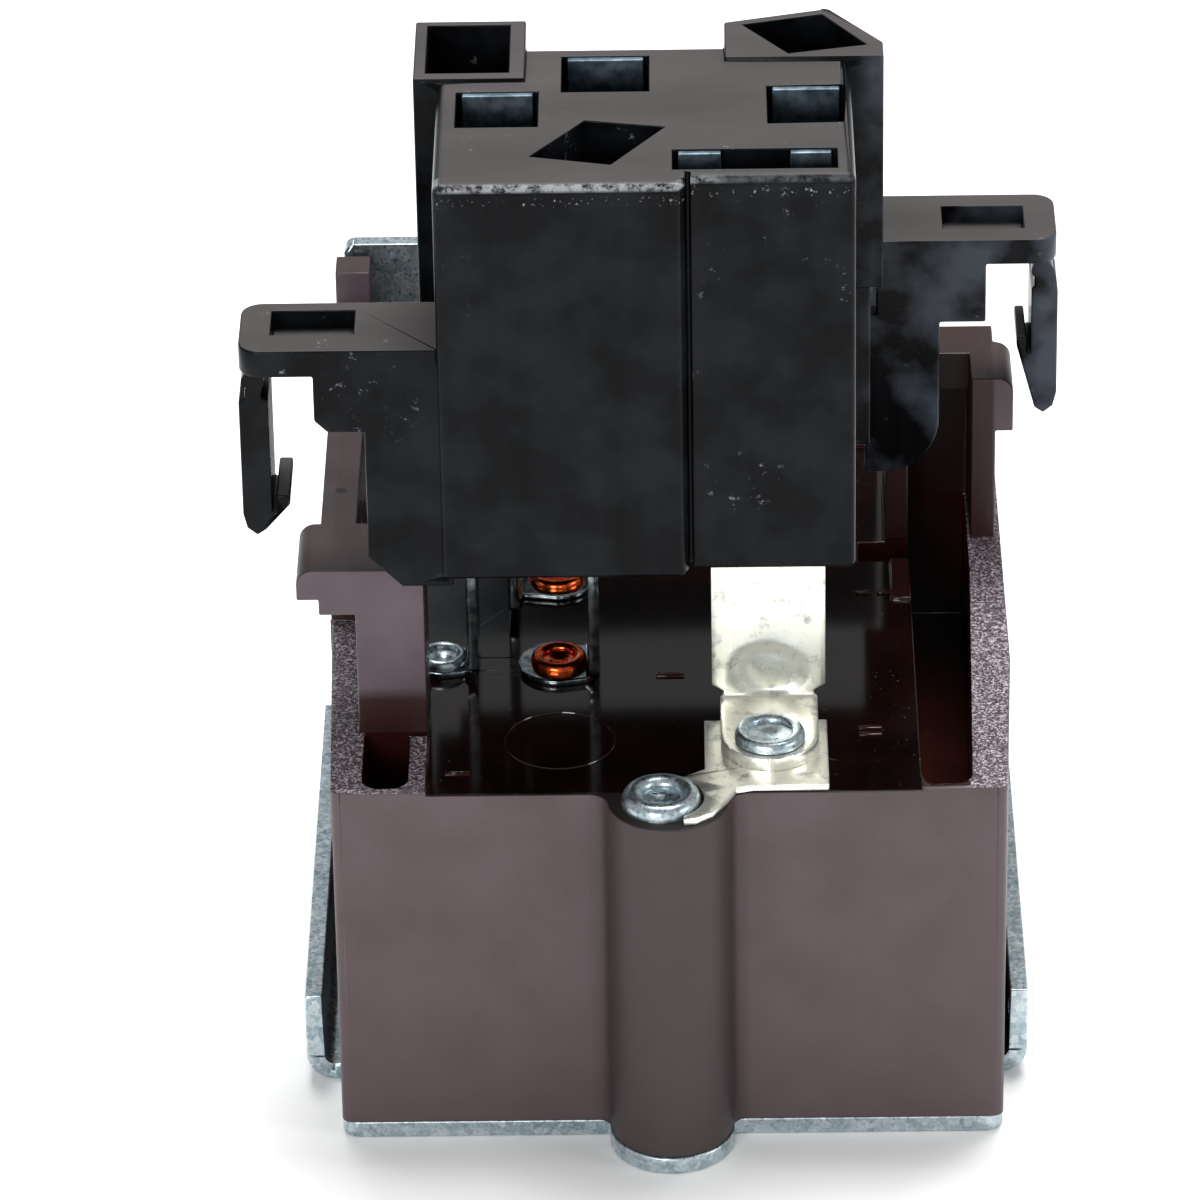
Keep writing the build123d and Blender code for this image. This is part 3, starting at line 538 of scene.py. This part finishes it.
edgeRadii = dict(housing=0.1, plug_housing=0.12, left_latch=0.12, right_latch=0.12, steel_base=0.1,
                 link_strip=0.08, yoke=0.15, armature=0.12, actuator_card=0.08, contact_block=0.2,
                 fixed_bracket=0.08, fixed_contact=0.12, moving_contact=0.12, core=0.2,
                 tab_receptacle=0.06, copper_receptacle=0.06, left_receptacle=0.06, rear_receptacle=0.06)
for nodeName, radius in edgeRadii.items():
    softened(nodeName, radius)
print("mouldings and pressings done")


# a turned shape: rings of (radius, height) in mm round a centre, along Z or Y
def turned(bm, centre, rings, along="Z", segments=56):
    loops = []
    for radius, height in rings:
        loop = []
        for i in range(segments):
            a = 2 * pi * i / segments
            spot = Vector((radius * cos(a), radius * sin(a), height))
            if along == "Y":
                spot = Vector((spot.x, spot.z, -spot.y))
            loop.append(bm.verts.new((Vector(centre) + spot) * mm))
        loops.append(loop)
    for lower, upper in zip(loops, loops[1:]):
        for i in range(segments):
            j = (i + 1) % segments
            bm.faces.new((lower[i], lower[j], upper[j], upper[i]))
    return loops


bm = bmesh.new()
ringLow, ringHigh = deckZ - deckRing["rise"], deckZ + deckRing["rise"]
ringHeights = (ringLow, ringHigh, ringHigh, ringLow)
turned(bm, (deckRing["x"], deckRing["y"], 0), list(zip(deckRing["radii"], ringHeights)), segments=96)
pieceFrom(bm, "deckRing", "base", "phenolic")

rivets = {
    "front_rivet": dict(dish=1.05, headHeight=0.8, shank=1.5, places=None),
    "rear_rivets": dict(dish=0.95, headHeight=0.55, shank=1.5, places=((-8.0, 17.2), (8.0, 17.2))),
    "tab_eyelet": dict(dish=1.2, headHeight=0.55, shank=1.15, places=None),
    "copper_eyelet": dict(dish=0.85, headHeight=0.55, shank=1.15, places=None),
    "left_eyelet": dict(dish=0.8, headHeight=0.55, shank=1.15, places=None),
    "rear_eyelet": dict(dish=0.85, headHeight=0.55, shank=1.15, places=None),
}


# rolled rim round a dished middle, with a punch mark in it, and a plain shank below
def buildRivet(nodeName, rivet):
    low, high = boxMm(nodeName)
    middle = (low + high) / 2
    places = rivet["places"] or ((middle.x, middle.y),)
    headR = (high.y - low.y) / 2
    foot = high.z - rivet["headHeight"]
    rollR, rollW = (rivet["dish"] + headR) / 2, (headR - rivet["dish"]) / 2
    bm = bmesh.new()
    for x, y in places:
        rings = [(0.02, foot + 0.06), (rivet["dish"] * 0.35, foot + 0.06),
                 (rivet["dish"] * 0.5, foot + 0.16), (rivet["dish"] * 0.8, foot + 0.2)]
        for i in range(15):
            a = pi - pi * i / 14
            inner = 0.22 if i < 7 else 0.0
            rise = inner + (rivet["headHeight"] - inner) * sin(a) ** 0.8 if 0 < i < 14 else inner
            rings.append((rollR + rollW * cos(a), foot + min(rise, rivet["headHeight"])))
        rings += [(headR - 0.12, foot - 0.02), (rivet["shank"], foot - 0.02),
                  (rivet["shank"], low.z + 0.2), (rivet["shank"] - 0.2, low.z), (0.02, low.z)]
        loops = turned(bm, (x, y, 0), rings)
        bm.faces.new(loops[0])
        bm.faces.new(loops[-1])
    piece = pieceFrom(bm, nodeName + "Rolled", bodyOf[nodeName], slotOf[nodeName], sharp=50)
    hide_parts(nodeName)


for nodeName, rivet in rivets.items():
    buildRivet(nodeName, rivet)
print("rivets done:", len(rivets))


# width of a blank at a length along it; outline points are (length, low side, high side, thickness)
def outlineAt(outline, s):
    for (s0, *from0), (s1, *from1) in zip(outline, outline[1:]):
        if s <= s1:
            t = (s - s0) / (s1 - s0) if s1 > s0 else 0.0
            return [a + (b - a) * t for a, b in zip(from0, from1)]
    return list(outline[-1][1:])


# a stamped blank: it lies flat from start towards inward, folds up at bendR, and stands to tip
def foldedBlade(nodeName, blade, material=None):
    start, flat, bendR, tip = blade["start"], blade["flat"], blade["bendR"], blade["tip"]
    inward, across = Vector(blade["inward"]), Vector(blade["across"])
    arc = bendR * pi / 2
    length = flat + arc + tip - start.z - bendR
    rows = int(length / 0.3) + 1
    stations = sorted({round(length * i / rows, 4) for i in range(rows + 1)}
                      | {round(p[0], 4) for p in blade["outline"] if p[0] <= length})
    columns = 18
    bm = bmesh.new()
    grid = []
    for s in stations:
        if s < flat:
            spot, normal = start + inward * s, Vector((0, 0, 1))
        elif s < flat + arc:
            a = (s - flat) / bendR
            spot = start + inward * (flat + bendR * sin(a)) + Vector((0, 0, bendR * (1 - cos(a))))
            normal = -inward * sin(a) + Vector((0, 0, cos(a)))
        else:
            spot = start + inward * (flat + bendR) + Vector((0, 0, bendR + s - flat - arc))
            normal = -inward
        low, high, thick = outlineAt(blade["outline"], s)
        row = []
        for i in range(columns + 1):
            u = low + (high - low) * i / columns
            push = 0.0
            for dentS, dentU, radiusS, radiusU, deep in blade["dents"]:
                reach = ((s - dentS) / radiusS) ** 2 + ((u - dentU) / radiusU) ** 2
                if reach < 1:
                    push -= deep * min(1.0, (1 - reach) * 2.2)
            at = spot + across * u
            row.append((bm.verts.new((at + normal * (thick / 2 + push)) * mm),
                        bm.verts.new((at + normal * (push * 0.6 - thick / 2)) * mm)))
        grid.append(row)
    for side in (0, 1):
        for rowA, rowB in zip(grid, grid[1:]):
            for i in range(columns):
                bm.faces.new((rowA[i][side], rowA[i + 1][side], rowB[i + 1][side], rowB[i][side]))
    border = [row[0] for row in grid] + list(grid[-1][1:]) + [row[-1] for row in reversed(grid[:-1])] \
        + list(reversed(grid[0][1:-1]))
    for a, b in zip(border, border[1:] + border[:1]):
        bm.faces.new((a[0], b[0], b[1], a[1]))
    bmesh.ops.remove_doubles(bm, verts=bm.verts, dist=1e-5)
    bmesh.ops.recalc_face_normals(bm, faces=bm.faces)
    rim = [e for e in bm.edges if len(e.link_faces) == 2 and e.calc_face_angle(0) > radians(60)
           and e.calc_length() > 0.05 * mm]
    bmesh.ops.bevel(bm, geom=rim, offset=0.06 * mm, segments=2, profile=0.5, affect="EDGES")
    piece = pieceFrom(bm, nodeName + "Stamped", bodyOf[nodeName], slotOf[nodeName], material)
    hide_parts(nodeName)


# the rounded end of a foot, as outline points
def roundFoot(radius, thick, centre=0.0):
    turns = [radians(a) for a in (4, 12, 22, 33, 45, 57, 68, 79, 90)]
    return [(radius - radius * cos(a), centre - radius * sin(a), centre + radius * sin(a), thick)
            for a in turns]


tabLow, tabHigh = boxMm("tab_terminal")
tab = dict(thick=0.8, half=3.15, foot=2.7, neck=2.5, bendR=0.65)
tabMid = (tabLow.x + tabHigh.x) / 2
tabFlat = tabHigh.y - tab["thick"] / 2 - tab["bendR"] - tabLow.y
tabBend = tabFlat + tab["bendR"] * pi / 2
tabEnd = tabBend + tabHigh.z - tabLow.z - tab["thick"] / 2 - tab["bendR"]
foldedBlade("tab_terminal", dict(
    start=Vector((tabMid, tabLow.y, tabLow.z + tab["thick"] / 2)), inward=(0, 1, 0), across=(1, 0, 0),
    flat=tabFlat, bendR=tab["bendR"], tip=tabHigh.z,
    dents=[(tabBend + 1.35, 0.0, 1.75, 2.1, 0.28), (tabEnd - 4.0, 0.0, 0.8, 0.8, 0.2)],
    outline=roundFoot(tab["foot"], tab["thick"]) + [
        (tabFlat + 0.5, -tab["foot"], tab["foot"], tab["thick"]),
        (tabBend - 0.2, -tab["neck"], tab["neck"], tab["thick"]),
        (tabBend + 0.1, -tab["neck"], tab["neck"], tab["thick"]),
        (tabBend + 0.5, -tab["half"], tab["half"], tab["thick"]),
        (tabEnd - 1.2, -tab["half"], tab["half"], tab["thick"]),
        (tabEnd, -tab["half"] + 1.2, tab["half"] - 1.2, tab["thick"])]))

# the three blades that fold up from a side foot, all from one strip
sideStrip = dict(footThick=0.38, thick=0.6, half=2.4, bendR=0.5, waist=0.85, chamfer=0.9)
sideBlades = {
    "copper_blade": dict(foot=2.3, bladeX=-4.1, bladeY=-5.9, eyeX=-6.1, eyeY=-6.1),
    "left_blade": dict(foot=1.6, bladeX=-10.9, bladeY=-5.4, eyeX=-12.65, eyeY=-5.8),
    "rear_blade": dict(foot=2.2, bladeX=-8.7, bladeY=1.2, eyeX=-6.3, eyeY=3.4),
}
for nodeName, blade in sideBlades.items():
    foot, half = blade["foot"], sideStrip["half"]
    footThick, thick = sideStrip["footThick"], sideStrip["thick"]
    away = 1 if blade["bladeX"] > blade["eyeX"] else -1
    startX = blade["eyeX"] - away * foot
    flat = abs(blade["bladeX"] - startX) - sideStrip["bendR"]
    bend = flat + sideStrip["bendR"] * pi / 2
    end = bend + tabHigh.z - deckZ - footThick / 2 - sideStrip["bendR"]
    footAt = blade["eyeY"] - blade["bladeY"]        # the foot may sit off the blade's middle
    waist, chamfer = foot * sideStrip["waist"], sideStrip["chamfer"]
    foldedBlade(nodeName, dict(
        start=Vector((startX, blade["bladeY"], deckZ + footThick / 2)), inward=(away, 0, 0),
        across=(0, 1, 0), flat=flat, bendR=sideStrip["bendR"], tip=tabHigh.z,
        dents=[(end - 3.6, 0.0, 0.6, 0.6, 0.15)],
        outline=roundFoot(foot, footThick, footAt) + [
            (max(flat, foot + 0.05), footAt - waist, footAt + waist, footThick),
            (bend + 0.2, -half, half, thick),
            (end - chamfer, -half, half, thick),
            (end, -half + chamfer, half - chamfer, thick)]), tinPaintedDark)
print("blades done:", 1 + len(sideBlades))


# enamelled wire wound in even turns, a ridge for each
def buildWinding():
    coil = dict(wire=0.34, tube=2.95, outer=5.4)
    low, high = boxMm("coil_winding")
    middle = (low + high) / 2
    turns = int((high.y - low.y) / coil["wire"])
    pitch = (high.y - low.y) / turns
    rings = [(coil["tube"], low.y - middle.y)]
    for i in range(turns):
        for k in (0.06, 0.28, 0.5, 0.72, 0.94):
            lift = pitch / 2 * (sin(pi * k) - 1)
            rings.append((coil["outer"] + lift, low.y - middle.y + (i + k) * pitch))
    rings.append((coil["tube"], high.y - middle.y))
    bm = bmesh.new()
    loops = turned(bm, middle, rings, along="Y", segments=48)
    for i in range(48):
        j = (i + 1) % 48
        bm.faces.new((loops[-1][i], loops[-1][j], loops[0][j], loops[0][i]))
    piece = pieceFrom(bm, "woundWire", bodyOf["coil_winding"], "enamelled_wire", sharp=80)
    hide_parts("coil_winding")


buildWinding()
softened("bobbin", 0.15)
print("coil done")


# a bar or plate with rounded edges, from low and high corners in mm
def roundedBar(bm, low, high, radius):
    low, high = Vector(low), Vector(high)
    made = bmesh.ops.create_cube(bm, size=1.0)["verts"]
    bmesh.ops.scale(bm, vec=(high - low) * mm, verts=made)
    bmesh.ops.translate(bm, vec=(low + high) / 2 * mm, verts=made)
    edges = list({e for v in made for e in v.link_edges})
    bmesh.ops.bevel(bm, geom=edges, offset=radius * mm, segments=2, profile=0.5, affect="EDGES")


# plain raised marks by the terminals, each (x, y, length, width) on the deck
deckMarks = dict(height=0.14, radius=0.06, bars=[
    (11.2, 1.9, 0.9, 0.35), (12.4, 1.9, 0.9, 0.35), (11.2, -13.9, 1.3, 0.3), (11.2, -13.2, 1.3, 0.3),
    (0.13, -7.2, 1.6, 0.4), (-11.6, -17.7, 1.4, 0.3), (-12.4, -5.2, 0.3, 0.9)])
bm = bmesh.new()
for x, y, length, wide in deckMarks["bars"]:
    roundedBar(bm, (x - length / 2, y - wide / 2, deckZ - 0.1),
               (x + length / 2, y + wide / 2, deckZ + deckMarks["height"]), deckMarks["radius"])
pieceFrom(bm, "deckMarks", "base", "phenolic")

# plated tangs against the rear wall of each pocket, their tin painted darker as shade: (x low, x high,
# rear wall y)
tangs = dict(thick=0.4, endGap=0.3, low=48.7, top=56.92,
             walls=[(-11.1, -6.65, -3.5), (-5.4, -0.65, 0.8), (5.75, 10.0, -3.1),
                    (0.6, 3.5, -10.8), (6.6, 9.4, -10.8)])
bm = bmesh.new()
for lowX, highX, wallY in tangs["walls"]:
    roundedBar(bm, (lowX + tangs["endGap"], wallY - tangs["thick"], tangs["low"]),
               (highX - tangs["endGap"], wallY + 0.02, tangs["top"]), 0.08)
pieceFrom(bm, "pocketTangs", "plug", "tinned_brass", shadedTang)
print("marks and tangs done")
